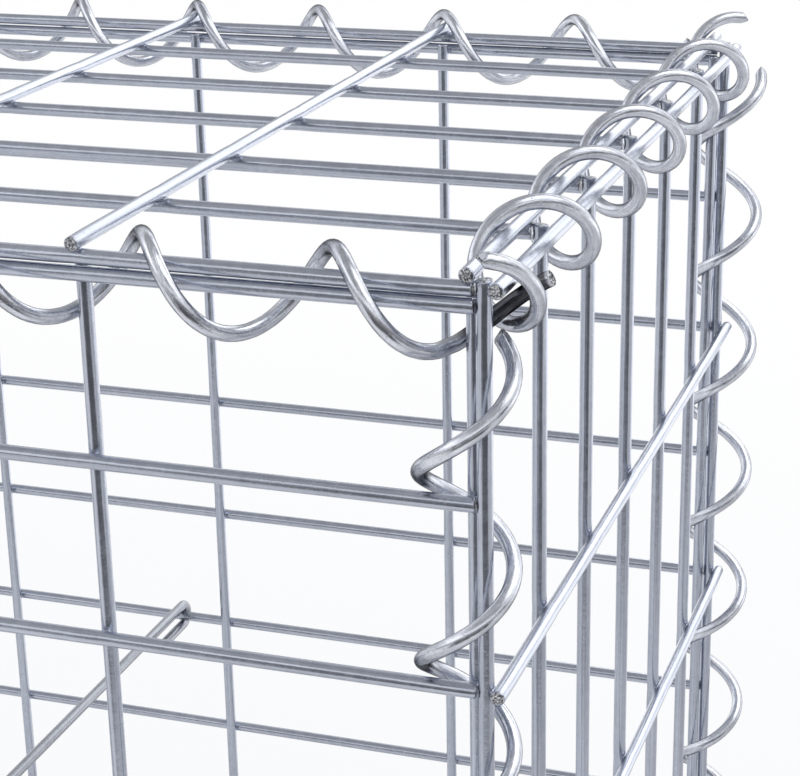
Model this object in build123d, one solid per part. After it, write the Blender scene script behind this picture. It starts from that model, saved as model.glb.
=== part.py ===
"""Welded-wire gabion basket: six mesh panels laced by twelve spirals and held by two ties."""
import math
import os

from build123d import *

# Basket size, measured between the centre lines of the edge wires
basket_length = 1000.0
basket_depth = 300.0
basket_height = 500.0

# Welded mesh
mesh_long = 100.0
mesh_short = 50.0
wire = 4.0
weld_sink = 0.4
stub = 2.2
wall_edge_out = 1.2
lid_edge_out = 0.9
bar_sides = 8

# Fits between neighbouring pieces
seat_gap = 0.35

# Lacing spirals
spiral_wire = 4.0
spiral_radius = 11.4
quarter_share = 0.25

# Spiral along the front edge: place of its axis by the edge wire, its two ends and its bent tail
front_axis_in = 1.7
front_axis_drop = 0.77
front_turn_share = 0.886
front_near_short = 4.0
front_far_short = 15.0
tail_run = 18.2
tail_in = 10.0
tail_rise = 5.2
tail_slope_share = 0.5

# Spiral along the back edge
rear_axis_out = 0.9
rear_axis_rise = 1.0
rear_turn_share = 0.25
rear_near_short = 6.0
rear_far_short = 10.0

# Spirals along the depth, drawn out a little longer than the cells
deep_axis_out = 5.74
deep_axis_rise = 3.36
deep_turn_share = 0.232
deep_stretch_share = 1.06
deep_near_tail = 11.5
deep_far_tail = 9.0

# Upright spirals at the front corners
near_axis_aside = 0.28
near_axis_out = 0.9
near_turn_share = 0.371
near_top_short = 9.6
near_foot_short = 10.0

# Upright spirals at the back corners
away_axis_aside = 6.2
away_axis_out = 0.9
away_turn_share = 0.84
away_top_short = 10.0
away_foot_short = 4.0

# Hooked ties between front and back
tie_wire = 4.0
tie_from_end = 222.0
tie_hook = 25.0

# Levels that follow from the sizes above
layer = wire - weld_sink
stack = wire + seat_gap
half_length = basket_length / 2
half_depth = basket_depth / 2
half_height = basket_height / 2
lid_level = half_height + stack
end_plane = half_length + stub + seat_gap + wire / 2
long_cells = round(basket_length / mesh_long)
deep_cells = round(basket_depth / mesh_short)
tall_cells = round(basket_height / mesh_short)
end_cells = round(basket_height / mesh_long)
long_pitch = basket_length / long_cells / round(mesh_long / mesh_short)
deep_pitch = basket_depth / deep_cells * deep_stretch_share
tall_pitch = basket_height / tall_cells
ground = half_height + deep_axis_rise + spiral_radius + spiral_wire / 2


# One straight mesh wire between two points, its flats square to the mesh
def bar(start, end):
    run = Vector(*end) - Vector(*start)
    side = Vector(1, 0, 0) if run.Z else Vector(0, 0, 1)
    plane = Plane(origin=start, x_dir=side, z_dir=run)
    flat_turn = 180 / bar_sides
    profile = plane * RegularPolygon(wire / 2, bar_sides, major_radius=False, rotation=flat_turn)
    return extrude(profile, amount=run.length)


# Evenly spaced places from one edge wire to the other
def spaced(half, cells):
    return [half * (2 * step / cells - 1) for step in range(cells + 1)]


# Places along the length, the two edge wires set out a little from the even spacing
def posts(edge_out):
    edge = half_length + edge_out
    return [-edge] + spaced(half_length, long_cells)[1:-1] + [edge]


# A mesh panel is all its wires, welded where they cross
def weld(bars):
    return bars[0].fuse(*bars[1:])


# Front wall: level wires outside, uprights inside
def wall_panel():
    reach = half_length + stub
    rows = spaced(half_height, tall_cells)
    level = [bar((-reach, -half_depth, z), (reach, -half_depth, z)) for z in rows]
    inner = layer - half_depth
    top = half_height + stub
    upright = [bar((x, inner, -top), (x, inner, top)) for x in posts(wall_edge_out)]
    return weld(level + upright)


# Lid: cross wires on top, long wires below
def lid_panel():
    reach = half_length + stub
    along = [bar((-reach, y, lid_level), (reach, y, lid_level)) for y in spaced(half_depth, deep_cells)]
    over = lid_level + layer
    front = half_depth + stub
    across = [bar((x, -front, over), (x, front, over)) for x in posts(lid_edge_out)]
    return weld(along + across)


# Right end: level wires outside, uprights inside, edge wires level with the lid
def end_panel():
    top = lid_level + stub
    upright = [bar((end_plane, y, -top), (end_plane, y, top)) for y in spaced(half_depth, deep_cells)]
    outer = end_plane + layer
    front = half_depth + stub
    rows = spaced(half_height, end_cells)
    rows = [-lid_level] + rows[1:-1] + [lid_level]
    level = [bar((outer, -front, z), (outer, front, z)) for z in rows]
    return weld(upright + level)


# A lacing spiral: round wire carried along a right-handed helix, laid in quarter turns
def spiral(pitch, turn_share, low, high):
    pieces = math.ceil((high - low) / pitch / quarter_share)
    rise = (high - low) / pieces
    arc = Helix(pitch=pitch, height=rise, radius=spiral_radius)
    starts = [low + step * rise for step in range(pieces)]
    arcs = [Pos(0, 0, start) * Rot(0, 0, 360 * (turn_share + start / pitch)) * arc for start in starts]
    path = Wire([piece.edges()[0] for piece in arcs])
    section = Plane(origin=path @ 0, z_dir=path % 0) * Circle(spiral_wire / 2)
    return sweep(section, path=path, is_frenet=True), path


# A tail bent straight on from the end of a spiral to a given point
def bent_tail(path, tip, lean):
    bend = Spline(path @ 1, tip, tangents=[path % 1, lean])
    section = Plane(origin=bend @ 0, z_dir=bend % 0) * Circle(spiral_wire / 2)
    return sweep(section, path=Wire([bend]))


# Front top edge: starts short of the left end, and its tail hooks over the right end's top wire
def front_spiral():
    coil, path = spiral(long_pitch, front_turn_share, front_far_short - basket_length, -front_near_short)
    tip = (tail_in - front_axis_in, tail_rise + front_axis_drop, tail_run)
    tail = bent_tail(path, tip, (0, tail_slope_share, 1))
    origin = (half_length, front_axis_in - half_depth, half_height - front_axis_drop)
    return Plane(origin=origin, x_dir=(0, 1, 0), z_dir=(1, 0, 0)) * coil.fuse(tail)


# Back edge, drawn at the front like its twin and turned to its place below
def rear_spiral():
    coil, path = spiral(long_pitch, rear_turn_share, rear_far_short - basket_length, -rear_near_short)
    origin = (half_length, -rear_axis_out - half_depth, half_height + rear_axis_rise)
    return Plane(origin=origin, x_dir=(0, 1, 0), z_dir=(1, 0, 0)) * coil


# Right top edge: starts in front of the front wall, runs past the back wall
def deep_spiral():
    coil, path = spiral(deep_pitch, deep_turn_share, -deep_near_tail, basket_depth + deep_far_tail)
    origin = (half_length + deep_axis_out, -half_depth, half_height + deep_axis_rise)
    return Plane(origin=origin, x_dir=(0, 0, 1), z_dir=(0, 1, 0)) * coil


# Front right corner: hangs between the lid and the base
def near_spiral():
    coil, path = spiral(tall_pitch, near_turn_share, near_foot_short - basket_height, -near_top_short)
    origin = (half_length + near_axis_aside, -near_axis_out - half_depth, half_height)
    return Plane(origin=origin, x_dir=(1, 0, 0), z_dir=(0, 0, 1)) * coil


# Back corner, drawn at the front right and turned to its place below
def away_spiral():
    coil, path = spiral(tall_pitch, away_turn_share, away_foot_short - basket_height, -away_top_short)
    origin = (half_length + away_axis_aside, -away_axis_out - half_depth, half_height)
    return Plane(origin=origin, x_dir=(1, 0, 0), z_dir=(0, 0, 1)) * coil


# A tie hooks round the middle wire of the front wall and of the back wall
def tie():
    x = half_length - tie_from_end
    bend = (wire + tie_wire) / 2 + seat_gap
    tip = half_depth - tie_hook
    front_leg = Line((x, -tip, -bend), (x, -half_depth, -bend))
    front_turn = ThreePointArc((x, -half_depth, -bend), (x, -half_depth - bend, 0), (x, -half_depth, bend))
    rod = Line((x, -half_depth, bend), (x, half_depth, bend))
    back_turn = ThreePointArc((x, half_depth, bend), (x, half_depth + bend, 0), (x, half_depth, -bend))
    back_leg = Line((x, half_depth, -bend), (x, tip, -bend))
    path = Wire([front_leg, front_turn, rod, back_turn, back_leg])
    start = Plane(origin=(x, -tip, -bend), x_dir=(1, 0, 0), z_dir=(0, -1, 0))
    return sweep(start * Circle(tie_wire / 2), path=path)


# Half turns about the basket's own axes carry each piece to its like places
def turned(shape, axis):
    return shape.rotate(axis, 180)


front = wall_panel()
lid = lid_panel()
right = end_panel()
front_edge = front_spiral()
rear_edge = rear_spiral()
rim = deep_spiral()
near_corner = near_spiral()
away_corner = away_spiral()
right_tie = tie()

nodes = {
    "panel_front": front,
    "panel_back": turned(front, Axis.Z),
    "panel_lid": lid,
    "panel_base": turned(lid, Axis.X),
    "panel_right": right,
    "panel_left": turned(right, Axis.Z),
    "spiral_front_top": front_edge,
    "spiral_back_top": turned(rear_edge, Axis.Z),
    "spiral_front_base": turned(front_edge, Axis.Y),
    "spiral_back_base": turned(rear_edge, Axis.X),
    "spiral_right_top": rim,
    "spiral_left_top": turned(rim, Axis.Z),
    "spiral_right_base": turned(rim, Axis.X),
    "spiral_left_base": turned(rim, Axis.Y),
    "spiral_front_right": near_corner,
    "spiral_front_left": turned(near_corner, Axis.Y),
    "spiral_back_right": turned(away_corner, Axis.X),
    "spiral_back_left": turned(away_corner, Axis.Z),
    "tie_right": right_tie,
    "tie_left": turned(right_tie, Axis.Z),
}

# Stand the basket on its base spirals and write one file a piece
os.makedirs("parts", exist_ok=True)
for name, shape in nodes.items():
    export_step(shape.translate((0, 0, ground)), "parts/" + name + ".step")
    print(name, "volume", round(shape.volume))
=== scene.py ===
# %% [markdown]
# # A gabion basket of welded wire
#
# A gabion is a cage of galvanised wire that is filled with stones to make a wall. This one is
# still empty, so all that shows is wire: six flat meshes, the spirals that lace their edges
# together, and two ties that stop the long sides from bulging. The construction model already
# fixes every size. This lesson loads it first, measures it, and lays a finer surface over each of
# its pieces.

# %% Load the fixed frame
import math

import bpy
import numpy as np
from mathutils import Matrix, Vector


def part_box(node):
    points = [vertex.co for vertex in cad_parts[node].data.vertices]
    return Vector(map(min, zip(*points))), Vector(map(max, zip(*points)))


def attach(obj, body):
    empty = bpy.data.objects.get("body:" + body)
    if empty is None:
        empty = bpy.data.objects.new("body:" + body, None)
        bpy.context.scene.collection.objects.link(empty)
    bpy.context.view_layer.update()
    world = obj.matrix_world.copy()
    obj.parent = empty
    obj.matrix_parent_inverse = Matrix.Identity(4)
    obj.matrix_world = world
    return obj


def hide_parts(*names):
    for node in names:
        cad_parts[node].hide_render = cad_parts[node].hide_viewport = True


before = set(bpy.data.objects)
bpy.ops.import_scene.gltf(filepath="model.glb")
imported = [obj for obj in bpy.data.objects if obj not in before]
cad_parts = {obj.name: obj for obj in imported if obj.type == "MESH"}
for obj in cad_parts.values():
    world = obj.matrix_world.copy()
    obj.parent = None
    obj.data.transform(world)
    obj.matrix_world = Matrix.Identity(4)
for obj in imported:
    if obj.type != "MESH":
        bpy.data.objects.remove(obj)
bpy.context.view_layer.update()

print("pieces in the frame:", len(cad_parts))

# %% [markdown]
# ## Places that the frame gives
#
# A mesh is known by its outer box: the wires lie in two layers, one wire radius in from either
# face, and the edge wires lie a short stub in from the rim. So nearly every place below is
# measured from a box of the frame. Only the wire, the stub, the cell and the small way that the
# edge wires are set out are written as sizes.

# %% Measure the frame
mm = 0.001
X, Y, Z = range(3)
unit = np.eye(3)
wire_radius = 2.0 * mm
stub = 2.2 * mm
wall_edge_out = 1.2 * mm
lid_edge_out = 0.9 * mm
cell_long = 100 * mm
cell_short = 50 * mm


def corners(node):
    """Lowest and highest corner of a construction piece, as arrays."""
    low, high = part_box(node)
    return np.array(low), np.array(high)


front_low, front_high = corners("panel_front")
lid_low, lid_high = corners("panel_lid")
end_low, end_high = corners("panel_right")
middle = (front_low + front_high) / 2 * np.array([1, 0, 1])
half_length = front_high[X] - wire_radius - wall_edge_out
half_depth = -front_low[Y] - wire_radius
half_height = (front_high - front_low)[Z] / 2 - stub

# Along the length the edge wires set the box, so the ends of the long wires are worked out
for low, high in ((front_low, front_high), (lid_low, lid_high)):
    low[X], high[X] = -half_length - stub, half_length + stub
half_sizes = np.array([half_length, half_depth, half_height])
print("edge wires, half sizes in mm:", np.round(half_sizes / mm, 2))

# %% [markdown]
# ## One way to make every wire
#
# A wire is a ring carried along a path. Blender could do it with a bevelled curve, but then
# nothing could follow the surface: the drawn streaks, which run along a wire, or the rough face
# where it was cut. Here the ring is carried with whole arrays, many wires at a time, and each
# point remembers where it lies round and along its wire. The faces come first, because they only
# need counting.

# %% Faces between rings
def ring_faces(wires, stations, sides):
    """Four-cornered faces between neighbouring rings, and a fan of triangles over each cut end.

    Corners are counted wire by wire, station by station, then round the ring. The middles of the
    two cut ends of each wire come after all the rings.
    """
    grid = np.arange(wires * stations * sides).reshape(wires, stations, sides)
    ahead = np.roll(grid, -1, axis=2)
    quads = np.stack([grid[:, :-1], ahead[:, :-1], ahead[:, 1:], grid[:, 1:]], axis=-1)
    pole = grid.size + np.arange(wires * 2).reshape(wires, 2, 1) + np.zeros((1, 1, sides), int)
    first = np.stack([pole[:, 0], ahead[:, 0], grid[:, 0]], axis=-1)
    last = np.stack([pole[:, 1], grid[:, -1], ahead[:, -1]], axis=-1)
    return quads.reshape(-1, 4), np.concatenate([first.reshape(-1, 3), last.reshape(-1, 3)])


ring_sides = 16
print("faces and end triangles of a plain rod:", [len(f) for f in ring_faces(1, 2, ring_sides)])

# %% [markdown]
# No two wires are cut or drawn alike, so each gets a slant of its own at its cut ends and its own
# stretch of the noise that will make its streaks. One random source with a fixed seed gives both.

# %% Carry a ring along many paths
seed = 7
rng = np.random.default_rng(seed)
slanted_stations = 3
cut_stations = 2
grain_spread = 40


def carry_ring(path, side, lift, radius, sides, slant=0.0, jaw=None, worn=0.0):
    """Point = path + radius * (cos(turn) * side + sin(turn) * lift), at equal turns round a ring.

    The arrays are wires by stations by 3, and radius is wires by stations. A fan closes each end.
    The slant tips the cut faces: their points slide along the wire by slant * cos(turn - own turn).
    The jaw is how far the cutter's two flats stand apart at each station; it clips the side part.
    The last argument says at each station how much painted shade darkens the colour.
    """
    wires, stations = radius.shape
    turn = np.linspace(0, 2 * np.pi, sides, endpoint=False)
    round_out = radius[:, :, None] * np.cos(turn)
    up = radius[:, :, None] * np.sin(turn)
    out = round_out
    if jaw is not None:
        out = np.clip(out, -jaw[None, :, None], jaw[None, :, None])
    points = path[:, :, None] + out[..., None] * side[:, :, None] + up[..., None] * lift[:, :, None]
    face = np.zeros(stations)
    face[:slanted_stations] = face[-slanted_stations:] = 1
    own_turn = rng.uniform(0, 2 * np.pi, (wires, 1, 1))
    slide = slant * face[:, None] * np.cos(turn - own_turn) * radius[:, :, None] / radius.max()
    tangent = np.cross(side, lift)
    points = points + slide[..., None] * tangent[:, :, None]
    poles = path[:, [0, -1]]

    steps = np.linalg.norm(np.diff(path, axis=1), axis=2)
    along = np.concatenate([np.zeros((wires, 1)), np.cumsum(steps, axis=1)], axis=1)
    along = along + rng.uniform(0, grain_spread, (wires, 1))
    along_ring = np.broadcast_to(along[:, :, None], round_out.shape)
    grain = np.stack([round_out, up, along_ring], axis=-1)
    pole_grain = np.zeros(poles.shape)
    pole_grain[..., 2] = along[:, [0, -1]]
    cut = np.zeros(round_out.shape)
    cut[:, :cut_stations] = cut[:, -cut_stations:] = 1
    # Painted shade: how far the colour is darkened at each point of the ring.
    shaded = np.broadcast_to(np.broadcast_to(worn, stations)[:, None], round_out.shape)

    quads, fans = ring_faces(wires, stations, sides)
    return {
        "points": np.concatenate([points.reshape(-1, 3), poles.reshape(-1, 3)]),
        "grain": np.concatenate([grain.reshape(-1, 3), pole_grain.reshape(-1, 3)]),
        "cut": np.concatenate([cut.ravel(), np.ones(wires * 2)]),
        "worn": np.concatenate([shaded.ravel(), np.zeros(wires * 2)]),
        "quads": quads,
        "fans": fans,
    }


print("random source with seed", seed)

# %% [markdown]
# A piece is one or more such bundles of wire joined into one mesh. It takes the place of a piece
# of the construction model and moves with the one body there is; its finish is given further on.
# Like pieces of the basket lie half a turn apart, about one of three axes through its middle.

# %% Put bundles of wire into one piece
def half_turned(bundle, signs):
    """Gives a bundle half a turn about the basket's middle: two coordinates change sign."""
    turned = dict(bundle)
    turned["points"] = middle + (bundle["points"] - middle) * np.array(signs)
    return turned


def make_piece(name, bundles, node):
    """Joins the bundles, writes the mesh by whole arrays and hides the node it stands for."""
    counts = np.cumsum([0] + [len(b["points"]) for b in bundles])
    points = np.concatenate([b["points"] for b in bundles])
    quads = np.concatenate([b["quads"] + n for b, n in zip(bundles, counts)])
    fans = np.concatenate([b["fans"] + n for b, n in zip(bundles, counts)])
    starts = np.concatenate([4 * np.arange(len(quads)), quads.size + 3 * np.arange(len(fans))])

    mesh = bpy.data.meshes.new(name)
    mesh.vertices.add(len(points))
    mesh.vertices.foreach_set("co", points.ravel())
    mesh.loops.add(quads.size + fans.size)
    mesh.loops.foreach_set("vertex_index", np.concatenate([quads.ravel(), fans.ravel()]))
    mesh.polygons.add(len(starts))
    mesh.polygons.foreach_set("loop_start", starts)
    mesh.polygons.foreach_set("use_smooth", np.ones(len(starts), bool))
    mesh.update(calc_edges=True)
    mesh.validate()
    grain = mesh.attributes.new("grain", "FLOAT_VECTOR", "POINT")
    grain.data.foreach_set("vector", np.concatenate([b["grain"] for b in bundles]).ravel())
    # The second mark is the painted shade that darkens a wire's colour.
    for mark in ("cut", "worn"):
        layer = mesh.attributes.new(mark, "FLOAT", "POINT")
        layer.data.foreach_set("value", np.concatenate([b[mark] for b in bundles]))

    piece = bpy.data.objects.new(name, mesh)
    bpy.context.collection.objects.link(piece)
    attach(piece, "root")
    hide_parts(node)
    print(name, "triangles:", 2 * len(quads) + len(fans))
    return piece


print("half turns go through", np.round(middle, 4))

# %% [markdown]
# ## The welded meshes
#
# Mesh wire is drawn, straightened, cut and then welded by squeezing each crossing between
# electrodes. The wires sink a little into each other, a small lip of metal shows round the weld,
# and the cut ends stay rough. A subdivided box would lose all that, so each wire gets stations
# where something happens: at its two cut ends and on either side of every crossing.

# %% Straight wires of one layer
end_steps = np.array([0.0, 0.05, 0.14, 0.45]) * mm
end_shares = np.array([0.52, 0.88, 0.975, 1.0])
end_room = 2 * end_steps[-1]
end_slant = 0.28 * mm
weld_steps = np.array([-6.0, -2.5, 0.0, 2.5, 6.0]) * mm
weld_dip = 0.12 * mm
weld_reach = 3.0 * mm
seat_reach = 90 * mm
wander = 0.07 * mm
wander_lengths = (0.06, 0.16)


def wire_layer(axis, across, places, level, inward, low, high, crossings, seat=0.0):
    """Straight wires side by side: station s moves along one axis, the place sets the other two.

    Each wire wanders by wander * sin(s / own length + own turn) and dips towards the other layer by
    weld_dip * exp(-(distance to a crossing / weld_reach)^2). Its ends settle the other way, by
    seat * exp(-(distance to an end / seat_reach)^2).
    """
    normal = X + Y + Z - axis - across
    inner = np.sort((crossings[:, None] + weld_steps).ravel())
    inner = inner[(inner > low + end_room) & (inner < high - end_room)]
    s = np.concatenate([low + end_steps, inner, high - end_steps[::-1]])
    share = np.concatenate([end_shares, np.ones(len(inner)), end_shares[::-1]])
    each = (2, len(places), 1)
    bend = np.sin(s / rng.uniform(*wander_lengths, each) + rng.uniform(0, 2 * np.pi, each))
    dip = weld_dip * np.exp(-(((s[:, None] - crossings) / weld_reach) ** 2)).sum(axis=1)
    settle = seat * np.exp(-((np.minimum(s - low, high - s) / seat_reach) ** 2))
    path = np.empty((len(places), len(s), 3))
    path[..., axis] = s
    path[..., across] = places[:, None] + wander * bend[0]
    path[..., normal] = level + wander * bend[1] + inward * (dip - settle)
    side = np.broadcast_to(unit[across], path.shape)
    lift = np.broadcast_to(np.cross(unit[axis], unit[across]), path.shape)
    radius = np.broadcast_to(wire_radius * share, path.shape[:2])
    return carry_ring(path, side, lift, radius, ring_sides, end_slant)


print("stations at a cut end:", len(end_steps), "and at a crossing:", len(weld_steps))

# %% [markdown]
# The lip of a weld is metal pressed out of the seam between two wires. A bead in each crossing is
# enough, since only its rim shows. It is the same ring again, carried a short way through the
# seam and widest in its middle.

# %% Weld lips
bead_sides = 8
bead_rises = np.array([-0.75, -0.4, 0.0, 0.4, 0.75]) * mm
bead_shares = np.array([0.55, 0.88, 1.0, 0.88, 0.55])
bead_radius = 1.95 * mm
bead_spread = (0.9, 1.06)


def weld_lips(axis, across, places_a, places_b, level):
    """A flat bead in each crossing: a ring carried through the seam, widest at its middle."""
    normal = X + Y + Z - axis - across
    spots = np.stack(np.meshgrid(places_a, places_b, indexing="ij"), axis=-1).reshape(-1, 2)
    path = np.empty((len(spots), len(bead_rises), 3))
    path[..., axis] = spots[:, :1]
    path[..., across] = spots[:, 1:]
    path[..., normal] = level + bead_rises
    side = np.broadcast_to(unit[axis], path.shape)
    lift = np.broadcast_to(np.cross(unit[normal], unit[axis]), path.shape)
    size = bead_radius * rng.uniform(*bead_spread, (len(spots), 1))
    beads = carry_ring(path, side, lift, size * bead_shares, bead_sides)
    beads["cut"][:] = 0
    return beads


print("bead across, mm:", 2 * bead_radius / mm)

# %% [markdown]
# All six meshes are made alike: an outer layer of wires one way, an inner layer the other way,
# and a bead at each crossing. One function makes any of them from its box, and the places of the
# wires follow from the cells.

# %% One mesh from its box
def welded_mesh(low, high, outer_axis, inner_axis, outward, outer_places, inner_places, seat=0.0):
    """Outer wires along one axis, inner wires along the other, a bead where they cross.

    The seat is how far the ends of the inner wires settle inwards, onto the mesh below them.
    """
    normal = X + Y + Z - outer_axis - inner_axis
    faces = (low[normal], high[normal]) if outward < 0 else (high[normal], low[normal])
    outer_level = faces[0] - outward * wire_radius
    inner_level = faces[1] + outward * wire_radius
    seam = (outer_level + inner_level) / 2
    outer = wire_layer(outer_axis, inner_axis, outer_places, outer_level, -outward,
                       low[outer_axis], high[outer_axis], inner_places)
    inner = wire_layer(inner_axis, outer_axis, inner_places, inner_level, outward,
                       low[inner_axis], high[inner_axis], outer_places, seat)
    return [outer, inner, weld_lips(outer_axis, inner_axis, inner_places, outer_places, seam)]


def spaced(first, last, cell):
    """Even places from the first edge wire to the last, one cell apart."""
    return np.linspace(first, last, round((last - first) / cell) + 1)


posts = spaced(front_low[X] + stub, front_high[X] - stub, cell_long)
rows = spaced(front_low[Z] + stub, front_high[Z] - stub, cell_short)
depths = spaced(lid_low[Y] + stub, lid_high[Y] - stub, cell_short)
end_rows = spaced(rows[0], rows[-1], cell_long)
end_rows[[0, -1]] = end_low[Z] + stub, end_high[Z] - stub
outermost = np.zeros(len(posts))
outermost[[0, -1]] = -1, 1
wall_posts = posts + wall_edge_out * outermost
lid_posts = posts + lid_edge_out * outermost
print("posts", len(posts), "rows", len(rows), "depths", len(depths), "end rows", len(end_rows))

# %% [markdown]
# There are three kinds of mesh. The walls have their level wires outside, the lid its cross wires
# on top, and the ends their level wires outside. The long wires of the lid settle a little at
# their ends, where the lacing pulls them down onto the walls. Back, base and left end are half
# turns of the front, the lid and the right end.

# %% Walls, lid, base and ends
lid_seat = 0.33 * mm
as_built, about_x, about_y, about_z = (1, 1, 1), (1, -1, -1), (-1, 1, -1), (-1, -1, 1)
panel_kinds = {
    "wall": dict(low=front_low, high=front_high, outer_axis=X, inner_axis=Z, outward=-1,
                 outer_places=rows, inner_places=wall_posts),
    "cover": dict(low=lid_low, high=lid_high, outer_axis=Y, inner_axis=X, outward=1,
                  outer_places=lid_posts, inner_places=depths, seat=lid_seat),
    "end": dict(low=end_low, high=end_high, outer_axis=Y, inner_axis=Z, outward=1,
                outer_places=end_rows, inner_places=depths),
}
panel_places = {
    "mesh_front": ("wall", "panel_front", as_built),
    "mesh_back": ("wall", "panel_back", about_z),
    "mesh_lid": ("cover", "panel_lid", as_built),
    "mesh_base": ("cover", "panel_base", about_x),
    "mesh_right": ("end", "panel_right", as_built),
    "mesh_left": ("end", "panel_left", about_z),
}
meshes = []
for name, (kind, node, signs) in panel_places.items():
    bundles = [half_turned(bundle, signs) for bundle in welded_mesh(**panel_kinds[kind])]
    meshes.append(make_piece(name, bundles, node))

# %% [markdown]
# ## The lacing spirals
#
# A spiral is a coil of the same wire, screwed along two edge wires so that it takes hold of both,
# one turn to each cell. It is a true helix, and its hand and its start decide which wires it
# passes inside. A screw modifier would need an object of its own for each one, so the helix is
# written as its formula and the ring is carried along it. At the front the fitter has bent the
# last bit of wire straight on, over the end's top wire; a cubic curve that leaves along the helix
# gives that tail.

# %% The path of a spiral
coil_radius = 11.4 * mm
coil_sides = 20
steps_a_turn = 48


def unit_rows(v):
    """Scales each vector to length one."""
    return v / np.linalg.norm(v, axis=-1, keepdims=True)


def helix(axis, pitch, turn_share, s):
    """Point = s * axis + radius * (cos(angle) * a + sin(angle) * b), angle = share + s / pitch.

    The axes a, b and the spiral's own axis follow each other in the order of x, y, z, which makes
    the coil right-handed. The angle is counted in whole turns.
    """
    a, b, k = np.roll(unit, -axis - 1, axis=0)
    angle = (2 * np.pi * (turn_share + s / pitch))[:, None]
    return s[:, None] * k + coil_radius * (np.cos(angle) * a + np.sin(angle) * b)


def tail_curve(coil, tip, lean, count):
    """Cubic from the coil's end to the tip: leaves along the coil, arrives along the lean.

    Point = (2t^3 - 3t^2 + 1) * start + (t^3 - 2t^2 + t) * leaving
          + (3t^2 - 2t^3) * tip + (t^3 - t^2) * arriving.
    """
    t = np.linspace(0, 1, count + 1)[1:, None]
    reach = np.linalg.norm(tip - coil[-1])
    leaving = unit_rows(coil[-1] - coil[-2]) * reach
    arriving = unit_rows(lean) * reach
    return ((2 * t**3 - 3 * t**2 + 1) * coil[-1] + (t**3 - 2 * t**2 + t) * leaving
            + (3 * t**2 - 2 * t**3) * tip + (t**3 - t**2) * arriving)


turn_length = np.hypot(cell_short, 2 * np.pi * coil_radius)
print("wire in one turn, mm:", round(turn_length / mm, 1))

# %% [markdown]
# Coil ends are nipped off with side cutters, which leave two flats that meet in a ridge. So the
# ring is clipped between two planes that close towards the end. Where a tail was sheared off
# square, the end is rounded over like the straight wires. Where the tail was bent, its colour is
# darkened to bare steel as painted shade.

# %% The two ends of a spiral
nip_steps = np.array([0.0, 0.25, 0.55, 0.85, 1.15, 1.45, 1.75, 2.1]) * mm
nip_ridge = 0.16 * mm
nip_slope = 0.95
nip_share = 0.9
# How far along the bent tail the painted shade reaches, and over how many stations it fades in.
shaded_stations = 26
shade_fade = 5


def coil_ends(count, bent):
    """At each station: the share of the full radius, the jaws' opening and the painted shade.

    The jaws open by nip_ridge + nip_slope * distance from the nipped end. The painted shade on
    the bent tail grows from none to all over the first few stations of the tail.
    """
    share, worn, jaw = np.ones(count), np.zeros(count), np.full(count, wire_radius)
    nipped = nip_ridge + nip_slope * nip_steps
    jaw[:len(nipped)] = nipped
    share[0] = nip_share
    if bent:
        share[-len(end_shares):] = end_shares[::-1]
        sheared = count - len(end_shares)
        # Painted shade on the bent tail, which darkens it to the colour of bare steel.
        shaded = np.minimum(np.arange(shaded_stations) / shade_fade, 1)
        worn[sheared - shaded_stations:sheared] = shaded
    else:
        jaw[-len(nipped):] = nipped[::-1]
        share[-1] = nip_share
    return share, jaw, worn


print("nipped end, mm:", nip_steps[-1] / mm)

# %% [markdown]
# The ring needs two directions square to the wire. The first points away from the spiral's axis,
# as nearly as the wire's own direction lets it, so the cutter's flats lie the same way on every
# coil.

# %% The wire of a spiral
tail_stations = 24
leaving_step = 0.01 * mm
end_gap = 3  # stations of the helix that make room for the nipped end


def coiled_wire(place, axis, pitch, turn_share, low, high, tip=None, lean=None):
    """The ring carried along helix and tail, its side pointing away from the spiral's axis."""
    bent = tip is not None
    slide = nip_steps * pitch / np.hypot(pitch, 2 * np.pi * coil_radius)
    body = np.linspace(low, high, round((high - low) / pitch * steps_a_turn))[end_gap:-end_gap]
    last = np.array([high]) if bent else high - slide[::-1]
    path = helix(axis, pitch, turn_share, np.concatenate([low + slide, body, last]))
    if bent:
        last_bit = helix(axis, pitch, turn_share, np.array([high - leaving_step, high]))
        path = np.concatenate([path, tail_curve(last_bit, tip, lean, tail_stations)])
        ahead = unit_rows(path[-1] - path[-2])
        path = np.concatenate([path[:-1], path[-1] - end_steps[::-1, None] * ahead])
    share, jaw, worn = coil_ends(len(path), bent)
    tangent = unit_rows(np.gradient(path, axis=0))
    radial = path * (1 - unit[axis])
    side = unit_rows(radial - (radial * tangent).sum(axis=1, keepdims=True) * tangent)
    return carry_ring((place + path)[None], side[None], np.cross(tangent, side)[None],
                      wire_radius * share[None], coil_sides, 0.0, jaw, worn)


print("stations in a turn:", steps_a_turn, "and in a tail:", tail_stations)

# %% [markdown]
# Five kinds of spiral lace the twelve edges. All are set out from the top right corner of the
# front: the place of the axis beside the edge wire, the share of a turn it has made there, and
# where the wire begins and ends along the edge. Those numbers let each coil pass the wires it
# holds and miss all others, so they follow the construction model. Half turns carry the kinds to
# their edges.

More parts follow.
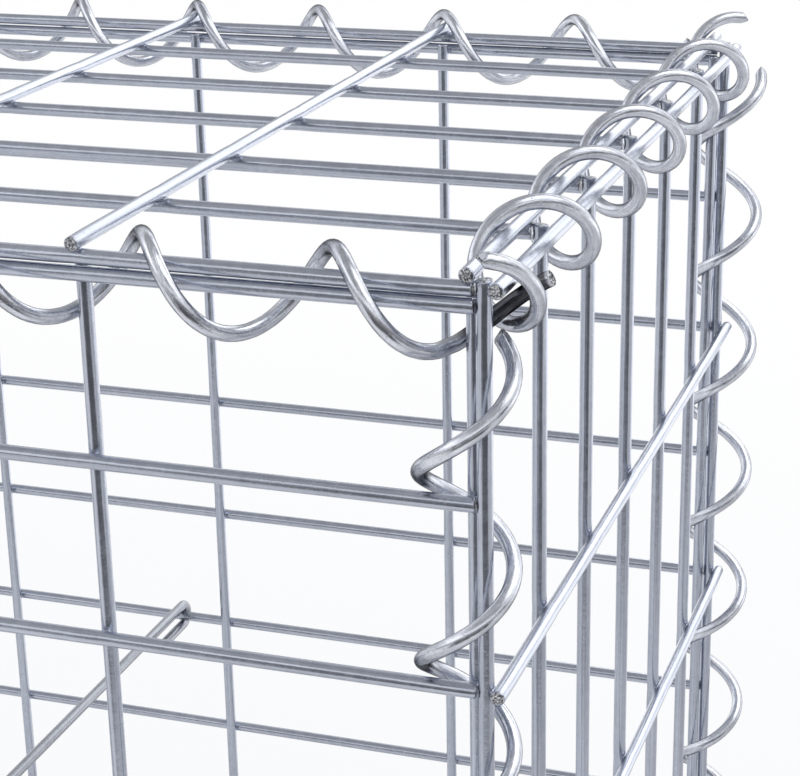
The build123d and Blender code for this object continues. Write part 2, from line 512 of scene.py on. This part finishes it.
# %% Spirals along the twelve edges
corner = np.array([half_length, -half_depth, middle[Z] + half_height])
length, depth, height = 2 * half_length, 2 * half_depth, 2 * half_height
front_axis = np.array([0, 1.7, -0.77]) * mm
front_tip = np.array([18.2, 10.0, 5.2]) * mm - front_axis
deep_stretch = 1.06
deep_pitch = deep_stretch * cell_short
spiral_kinds = {
    "front": dict(place=corner + front_axis, axis=X, pitch=cell_short, turn_share=0.886,
                  low=15 * mm - length, high=-4 * mm, tip=front_tip, lean=np.array([1, 0, 0.5])),
    "rear": dict(place=corner + np.array([0, -0.9, 1.0]) * mm, axis=X, pitch=cell_short,
                 turn_share=0.25, low=10 * mm - length, high=-6 * mm),
    "deep": dict(place=corner + np.array([5.74, 0, 3.36]) * mm, axis=Y, pitch=deep_pitch,
                 turn_share=0.232, low=-11.5 * mm, high=depth + 9 * mm),
    "near": dict(place=corner + np.array([0.28, -0.9, 0]) * mm, axis=Z, pitch=cell_short,
                 turn_share=0.371, low=10 * mm - height, high=-9.6 * mm),
    "away": dict(place=corner + np.array([6.2, -0.9, 0]) * mm, axis=Z, pitch=cell_short,
                 turn_share=0.84, low=4 * mm - height, high=-10 * mm),
}
spiral_places = {
    "front_top": ("front", as_built), "front_base": ("front", about_y),
    "back_top": ("rear", about_z), "back_base": ("rear", about_x),
    "right_top": ("deep", as_built), "left_top": ("deep", about_z),
    "right_base": ("deep", about_x), "left_base": ("deep", about_y),
    "front_right": ("near", as_built), "front_left": ("near", about_y),
    "back_right": ("away", about_x), "back_left": ("away", about_z),
}
coils = []
for edge, (kind, signs) in spiral_places.items():
    coil = half_turned(coiled_wire(**spiral_kinds[kind]), signs)
    coils.append(make_piece("coil_" + edge, [coil], "spiral_" + edge))

# %% [markdown]
# ## The ties
#
# A tie is one straight wire bent back at both ends, hooked over the middle wire of the front and
# of the back. Its path lies in one upright plane, so it is drawn there as lines and half circles
# and the ring keeps one direction square to that plane.

# %% Hooked ties
tie_from_end = 222 * mm
hook_length = 25 * mm
hook_bend = 4.35 * mm
hook_lead = 2 * mm
bend_stations = 16
rod_stations = 12


def hooked_tie():
    """Straight leg, half circle, straight rod, half circle and leg, all in one upright plane."""
    tip, lead = half_depth - hook_length, half_depth - hook_lead
    arc = np.linspace(-np.pi / 2, np.pi / 2, bend_stations)
    leg = np.concatenate([tip + end_steps, [lead]])
    rod = np.linspace(lead, -lead, rod_stations)
    back = np.concatenate([leg, half_depth + hook_bend * np.cos(arc), rod])
    back_rise = np.concatenate([np.full(len(leg), -1.0), np.sin(arc), np.ones(len(rod))])
    front = np.concatenate([-half_depth - hook_bend * np.cos(arc), -leg[::-1]])
    front_rise = np.concatenate([-np.sin(arc), np.full(len(leg), -1.0)])
    y = np.concatenate([back, front])
    z = middle[Z] + hook_bend * np.concatenate([back_rise, front_rise])
    path = np.stack([np.full(len(y), half_length - tie_from_end), y, z], axis=1)
    share = np.ones(len(y))
    share[:len(end_shares)] = end_shares
    share[-len(end_shares):] = end_shares[::-1]
    tangent = unit_rows(np.gradient(path, axis=0))
    side = np.broadcast_to(unit[X], path.shape)
    return carry_ring(path[None], side[None], np.cross(tangent, side)[None],
                      wire_radius * share[None], coil_sides, end_slant)


ties = []
for end, signs in {"right": as_built, "left": about_z}.items():
    hooked = half_turned(hooked_tie(), signs)
    ties.append(make_piece("hooked_tie_" + end, [hooked], "tie_" + end))

# %% [markdown]
# ## Galvanised finishes
#
# Drawn wire is dipped in zinc: it is satin grey with a cool cast, has fine streaks along its
# length from the drawing die, small cloudy patches where the zinc froze, and a rough, sparkling
# face where it was cut. All of it is worked out from formulas on the wire itself, with no image
# painted on; the bent tails and the ties are darkened as painted shade. One small class lets the
# shader maths be written as Python sums.

# %% Shader maths as Python expressions
class Signal:
    """One output of a shader node. Sums and products on it add Math nodes to the same tree."""

    def __init__(self, tree, link=None):
        self.tree, self.link = tree, link

    def node(self, kind, settings=None, sockets=None, give=0):
        """Adds any node: its settings first, then the values or links of its sockets."""
        made = self.tree.nodes.new("ShaderNode" + kind)
        for key, value in (settings or {}).items():
            setattr(made, key, value)
        for key, value in (sockets or {}).items():
            if isinstance(value, Signal):
                self.tree.links.new(value.link, made.inputs[key])
            else:
                made.inputs[key].default_value = value
        return Signal(self.tree, made.outputs[give])

    def math(self, operation, a, b):
        """One sum on two numbers, either of which may be a signal."""
        return self.node("Math", {"operation": operation}, {0: a, 1: b})

    def __add__(self, other):
        return self.math("ADD", self, other)

    def __sub__(self, other):
        return self.math("SUBTRACT", self, other)

    def __rsub__(self, other):
        return self.math("SUBTRACT", other, self)

    def __mul__(self, other):
        return self.math("MULTIPLY", self, other)

    def __truediv__(self, other):
        return self.math("DIVIDE", self, other)

    __radd__, __rmul__ = __add__, __mul__

    def vector(self, operation, other=(0, 0, 0), give=0):
        """A vector sum on these coordinates; dot product, length and distance come out second."""
        return self.node("VectorMath", {"operation": operation}, {0: self, 1: other}, give)

    def ramp(self, low, high):
        """Rises smoothly from 0 at low to 1 at high."""
        return self.node("MapRange", {"interpolation_type": "SMOOTHSTEP"},
                         {"Value": self, "From Min": low, "From Max": high})

    def tint(self, first, second):
        """A colour between two others, by this signal."""
        return self.node("Mix", {"data_type": "RGBA"}, {0: self, 6: first, 7: second}, 2)

    def blend(self, first, second):
        """A shader between two others, by this signal."""
        return self.node("MixShader", {}, {0: self, 1: first, 2: second})

    def cloud(self, scale, detail, roughness):
        """Cloudy noise on these coordinates."""
        return self.node("TexNoise", {}, {"Vector": self, "Scale": scale, "Detail": detail,
                                          "Roughness": roughness})


print("a signal can make:", [name for name in vars(Signal) if not name.startswith("_")])

# %% [markdown]
# One recipe serves all the wire. The streaks use the place along and round the wire, stretched
# until they are long and thin; clouds, grit and pits use the place in the basket. Coils have been
# handled and screwed in, so theirs is brighter and scuffed, and it darkens towards the edges of
# the wire. The bent tail is darkened to bare steel as painted shade. The ties hang inside, and
# their darker colour is painted shade.

# %% Zinc on wire
cloud_scale, grit_scale, pit_scale, scuff_scale = 300.0, 1900.0, 1100.0, 0.6
bump_strength, bump_height = 0.35, 0.3 * mm
# Dark and light bare steel: the colours of the painted shade on the bent tails.
painted_shade_dark, painted_shade_light = (0.03, 0.031, 0.034, 1), (0.16, 0.165, 0.18, 1)
dark_cut, light_cut = (0.10, 0.105, 0.115, 1), (0.78, 0.79, 0.82, 1)


def zinc_wire(name, dark, light, streak_stretch, satin, scuff, edge):
    """Zinc finish: colour, roughness and bumps are weighted sums of noises on the wire.

    Tone = 0.7 streaks + 0.3 clouds + 0.3 scuffs - 0.3 pits, from the dark colour to the light one.
    Places with painted shade take a dark steel colour, and cut faces a speckle of their own. Edge
    is how much light the wire still mirrors where it is seen at a slant.
    """
    material = bpy.data.materials.new(name)
    material.use_nodes = True
    tree = material.node_tree
    shader = tree.nodes["Principled BSDF"]
    start = Signal(tree)
    place = start.node("TexCoord", give=3)
    grain = start.node("Attribute", {"attribute_name": "grain"}, give=1)
    cut = start.node("Attribute", {"attribute_name": "cut"}, give=2).ramp(0.35, 0.9)
    # How much painted shade darkens each point of the wire.
    worn = start.node("Attribute", {"attribute_name": "worn"}, give=2)

    drawn = grain.vector("MULTIPLY", streak_stretch)
    streaks = drawn.cloud(1.0, 4.0, 0.6).ramp(0.25, 0.75)
    clouds = place.cloud(cloud_scale, 4.0, 0.62).ramp(0.3, 0.7)
    grit = place.cloud(grit_scale, 2.0, 0.7)
    scuffs = drawn.cloud(scuff_scale, 5.0, 0.72).ramp(0.52, 0.68) * scuff
    pits = place.cloud(pit_scale, 3.0, 0.6).ramp(0.60, 0.72) * scuff

    tone = streaks * 0.7 + clouds * 0.3
    skin = (tone + scuffs * 0.3 - pits * 0.3).tint(dark, light)
    # Painted shade: the bent tail is darkened to the colour of bare steel.
    skin = worn.tint(skin, streaks.tint(painted_shade_dark, painted_shade_light))
    colour = cut.tint(skin, grit.ramp(0.42, 0.62).tint(dark_cut, light_cut))
    satin_now = satin - streaks * 0.06 + clouds * 0.06 + scuffs * 0.12
    sheen = satin_now * (1 - cut * 0.4) + cut * 0.16
    height = streaks * 0.3 + clouds * 0.2 + grit * (cut * 2.2 + 0.1) - scuffs * 0.5 - pits * 0.4
    bump = start.node("Bump", {}, {"Height": height, "Strength": bump_strength,
                                   "Distance": bump_height})
    for signal, socket in ((colour, "Base Color"), (sheen, "Roughness"), (bump, "Normal")):
        tree.links.new(signal.link, shader.inputs[socket])
    shader.inputs["Metallic"].default_value = 1.0
    shader.inputs["Specular Tint"].default_value = (edge, edge, edge, 1)
    print("finish", name, "nodes:", len(tree.nodes))
    return material


finishes = {
    "mesh_zinc": dict(dark=(0.40, 0.425, 0.495, 1), light=(0.58, 0.61, 0.69, 1),
                      streak_stretch=(900, 900, 14), satin=0.23, scuff=0.0, edge=0.8),
    "coil_zinc": dict(dark=(0.46, 0.478, 0.535, 1), light=(0.84, 0.86, 0.915, 1),
                      streak_stretch=(800, 800, 45), satin=0.21, scuff=1.0, edge=0.15),
    # The ties' colours are darker than the mesh's to paint the shade inside the basket.
    "tie_zinc_painted_shade": dict(dark=(0.24, 0.25, 0.28, 1), light=(0.40, 0.415, 0.45, 1),
                     streak_stretch=(900, 900, 24), satin=0.28, scuff=0.0, edge=0.8),
}
for name, pieces in (("mesh_zinc", meshes), ("coil_zinc", coils), ("tie_zinc_painted_shade", ties)):
    finish = zinc_wire(name, **finishes[name])
    for piece in pieces:
        piece.data.materials.append(finish)

# %% [markdown]
# ## The studio
#
# Bare metal shows the room more than itself. The basket stands on a white floor before a bright
# white wall, and the room on the near side is dim. That is why the wires have light rims and a
# dark heart. To the camera, floor and wall are plain white, and the floor only keeps the basket's
# shadow. What the metal mirrors is set apart from that, with the kind of ray as the switch.

# %% Floor sheet
floor_near, floor_far, floor_wide = -6.0, 7.0, 6.0
floor_mesh = bpy.data.meshes.new("floor")
floor_corners = [(-floor_wide, floor_near, 0), (floor_wide, floor_near, 0),
                 (floor_wide, floor_far, 0), (-floor_wide, floor_far, 0)]
floor_mesh.from_pydata(floor_corners, [], [(0, 1, 2, 3)])
floor = bpy.data.objects.new("floor", floor_mesh)
bpy.context.collection.objects.link(floor)
paper = bpy.data.materials.new("white_paper")
paper.use_nodes = True
floor_mesh.materials.append(paper)
print("floor", floor_wide * 2, "m wide")

# %% [markdown]
# Three zones of the floor matter to the metal: the dim part on the viewer's side, a half-dim
# patch beyond the right end, and the bright part towards the back wall. A fourth matters to the
# camera: the ground close to the basket, where its shadow falls. Each is a smooth ramp on a
# length or a direction, so none has a hard edge.

# %% Zones on the floor
corner_spot, end_spot = (0.5, -0.15, 0), (1.3, 0.1, 0)
to_viewer, to_back = (0.276, -0.961, 0), (0, 1, 0)
sheet = Signal(paper.node_tree)
spot = sheet.node("TexCoord", give=3)
from_corner = spot.vector("SUBTRACT", corner_spot)
reach = from_corner.vector("LENGTH", give=1)
facing = from_corner.vector("DOT_PRODUCT", to_viewer, 1) / reach
viewer_side = facing.ramp(0.66, 0.80) * reach.ramp(0.60, 0.85)
end_shadow = 1 - spot.vector("DISTANCE", end_spot, 1).ramp(0.5, 0.9)
far_side = from_corner.vector("DOT_PRODUCT", to_back, 1).ramp(0.4, 1.2)
clear_of_basket = spot.vector("LENGTH", give=1).ramp(0.5, 1.8)
print("zone nodes:", len(sheet.tree.nodes))

# %% [markdown]
# The sheet is lit like paper for every other ray. A mirror ray sees mostly the zones, as if they
# shone, and the camera sees mostly white, less so close to the basket, which is where the shadow
# is.

# %% What the floor shows
white_light, bright_light, dim_light = 1.0, 2.2, 0.11
pure_white, room_white = (1.0, 1.0, 1.0, 1), (0.97, 0.98, 1.0, 1)
paper_white, paper_roughness = (0.86, 0.87, 0.90, 1), 0.9
end_share = 0.45
mirror_share, mirror_more = 0.66, 0.3
white_share, white_more = 0.72, 0.25
paper_shader = sheet.tree.nodes["Principled BSDF"]
paper_shader.inputs["Base Color"].default_value = paper_white
paper_shader.inputs["Roughness"].default_value = paper_roughness
lit = Signal(sheet.tree, paper_shader.outputs[0])
white = sheet.node("Emission", {}, {"Color": pure_white, "Strength": white_light})
bright = sheet.node("Emission", {}, {"Color": pure_white, "Strength": bright_light})
dim = sheet.node("Emission", {}, {"Color": room_white, "Strength": dim_light})

camera_ray = sheet.node("LightPath")
glossy_ray = Signal(sheet.tree, camera_ray.link.node.outputs["Is Glossy Ray"])
near_zones = (viewer_side + end_shadow * end_share).blend(white, dim)
mirror_zones = far_side.blend(near_zones, bright)
mirrored = (glossy_ray * (mirror_share + viewer_side * mirror_more)).blend(lit, mirror_zones)
shown = (camera_ray * (white_share + clear_of_basket * white_more)).blend(mirrored, white)
sheet.tree.links.new(shown.link, sheet.tree.nodes["Material Output"].inputs["Surface"])
print("floor nodes:", len(sheet.tree.nodes))

# %% [markdown]
# The room is light from all round, told apart by direction: a bright wall behind with a darker
# gap to the left, a soft light in front above the horizon, some fill from the left and a key
# light high on the right. The soft light draws the pale line along each wire, and the key light
# the glints on the coils. A world of formulas is quicker than building the room, and it leaves
# nothing in the way.

# %% Light by direction
world = bpy.data.worlds.new("white_room")
world.use_nodes = True
bpy.context.scene.world = world
air = Signal(world.node_tree)
toward = air.node("TexCoord", give=0)
right = air.node("SeparateXYZ", {}, {0: toward})
back = Signal(air.tree, right.link.node.outputs[1])
rise = Signal(air.tree, right.link.node.outputs[2])
left = 0 - right

behind = back.ramp(-0.05, 0.35)
low_down = 1 - rise.ramp(0.40, 0.75)
left_gap = left.ramp(0.12, 0.24) * (1 - left.ramp(0.52, 0.66)) * (1 - rise.ramp(0.2, 0.42))
right_end = 1 - right.ramp(0.74, 0.86) * 0.3
wall_light = behind * (0.45 + low_down * 0.8) * (1 - left_gap * 0.45) * right_end

soft_light = rise.ramp(0.22, 0.38) * (1 - rise.ramp(0.50, 0.68)) * 0.95
overhead = rise.ramp(0.55, 0.85) * 0.2
horizon = 0.12 + rise.ramp(-0.30, 0.05) * 0.16
left_fill = left.ramp(0.35, 0.8) * rise.ramp(-0.1, 0.2) * (1 - rise.ramp(0.6, 0.8)) * 0.5
right_dim = 1 - right.ramp(0.4, 0.8) * 0.15
front_light = left_fill + (horizon + soft_light + overhead) * right_dim

to_key = (0.53, 0.05, 0.847)
key_light = toward.vector("DOT_PRODUCT", to_key, 1).ramp(0.87, 0.97) * 1.8
glow = 0.02 + wall_light + key_light + (1 - behind) * front_light
print("light nodes:", len(air.tree.nodes))

# %% [markdown]
# The sum of the lights sets a mix between no light and the brightest one. The camera gets an even
# white backdrop in its place.

# %% Room
brightest = 4.0
unlit = air.node("Background", {}, {"Color": room_white, "Strength": 0.0})
lamp_lit = air.node("Background", {}, {"Color": room_white, "Strength": brightest})
backdrop = air.node("Background", {}, {"Color": room_white, "Strength": 1.0})
room = (glow * (1 / brightest)).blend(unlit, lamp_lit)
seen = air.node("LightPath").blend(room, backdrop)
air.tree.links.new(seen.link, air.tree.nodes["World Output"].inputs["Surface"])
print("room nodes:", len(air.tree.nodes))

# %% [markdown]
# One real lamp is left: a large soft box behind the basket. It lights the backs of the wires and
# throws the soft shadow on the floor, which light from all round could not do.

# %% Soft lamp
lamp_place, lamp_aim = np.array([0.9, 2.6, 1.6]), np.array([0.6, 0.0, 0.4])
lamp_width, lamp_height, lamp_power = 2.2, 1.7, 13
lamp = bpy.data.lights.new("back_softbox", "AREA")
lamp.shape, lamp.size, lamp.size_y = "RECTANGLE", lamp_width, lamp_height
lamp.energy = lamp_power
softbox = bpy.data.objects.new("back_softbox", lamp)
bpy.context.collection.objects.link(softbox)
lamp_back = unit_rows(lamp_place - lamp_aim)
lamp_right = unit_rows(np.cross(unit[Z], lamp_back))
lamp_up = np.cross(lamp_back, lamp_right)
lamp_turn = np.column_stack([lamp_right, lamp_up, lamp_back, lamp_place])
softbox.matrix_world = Matrix(np.vstack([lamp_turn, [0, 0, 0, 1]]).tolist())
print("lamps:", len(bpy.data.lights))

# %% [markdown]
# ## The camera
#
# The picture is a close view of one top corner, from a little above and to the right. The
# camera's place is given from that corner, so it stays right whatever the basket stands on.

# %% Camera
camera_from_corner = np.array([139.1, -446.5, 148.2]) * mm
camera_yaw, camera_pitch, camera_roll = 19.194, -19.795, -1.179
camera_lens = 95.17
nearest_seen = 0.02

camera = bpy.data.objects.new("camera", bpy.data.cameras.new("camera"))
bpy.context.collection.objects.link(camera)
camera.data.lens = camera_lens
camera.data.clip_start = nearest_seen
aim = (Matrix.Rotation(math.radians(camera_yaw), 4, "Z")
       @ Matrix.Rotation(math.radians(90 + camera_pitch), 4, "X")
       @ Matrix.Rotation(math.radians(camera_roll), 4, "Z"))
camera.matrix_world = Matrix.Translation(corner + camera_from_corner) @ aim
bpy.context.scene.camera = camera
bpy.context.scene.view_settings.view_transform = "Standard"
print("camera at", np.round(corner + camera_from_corner, 4))
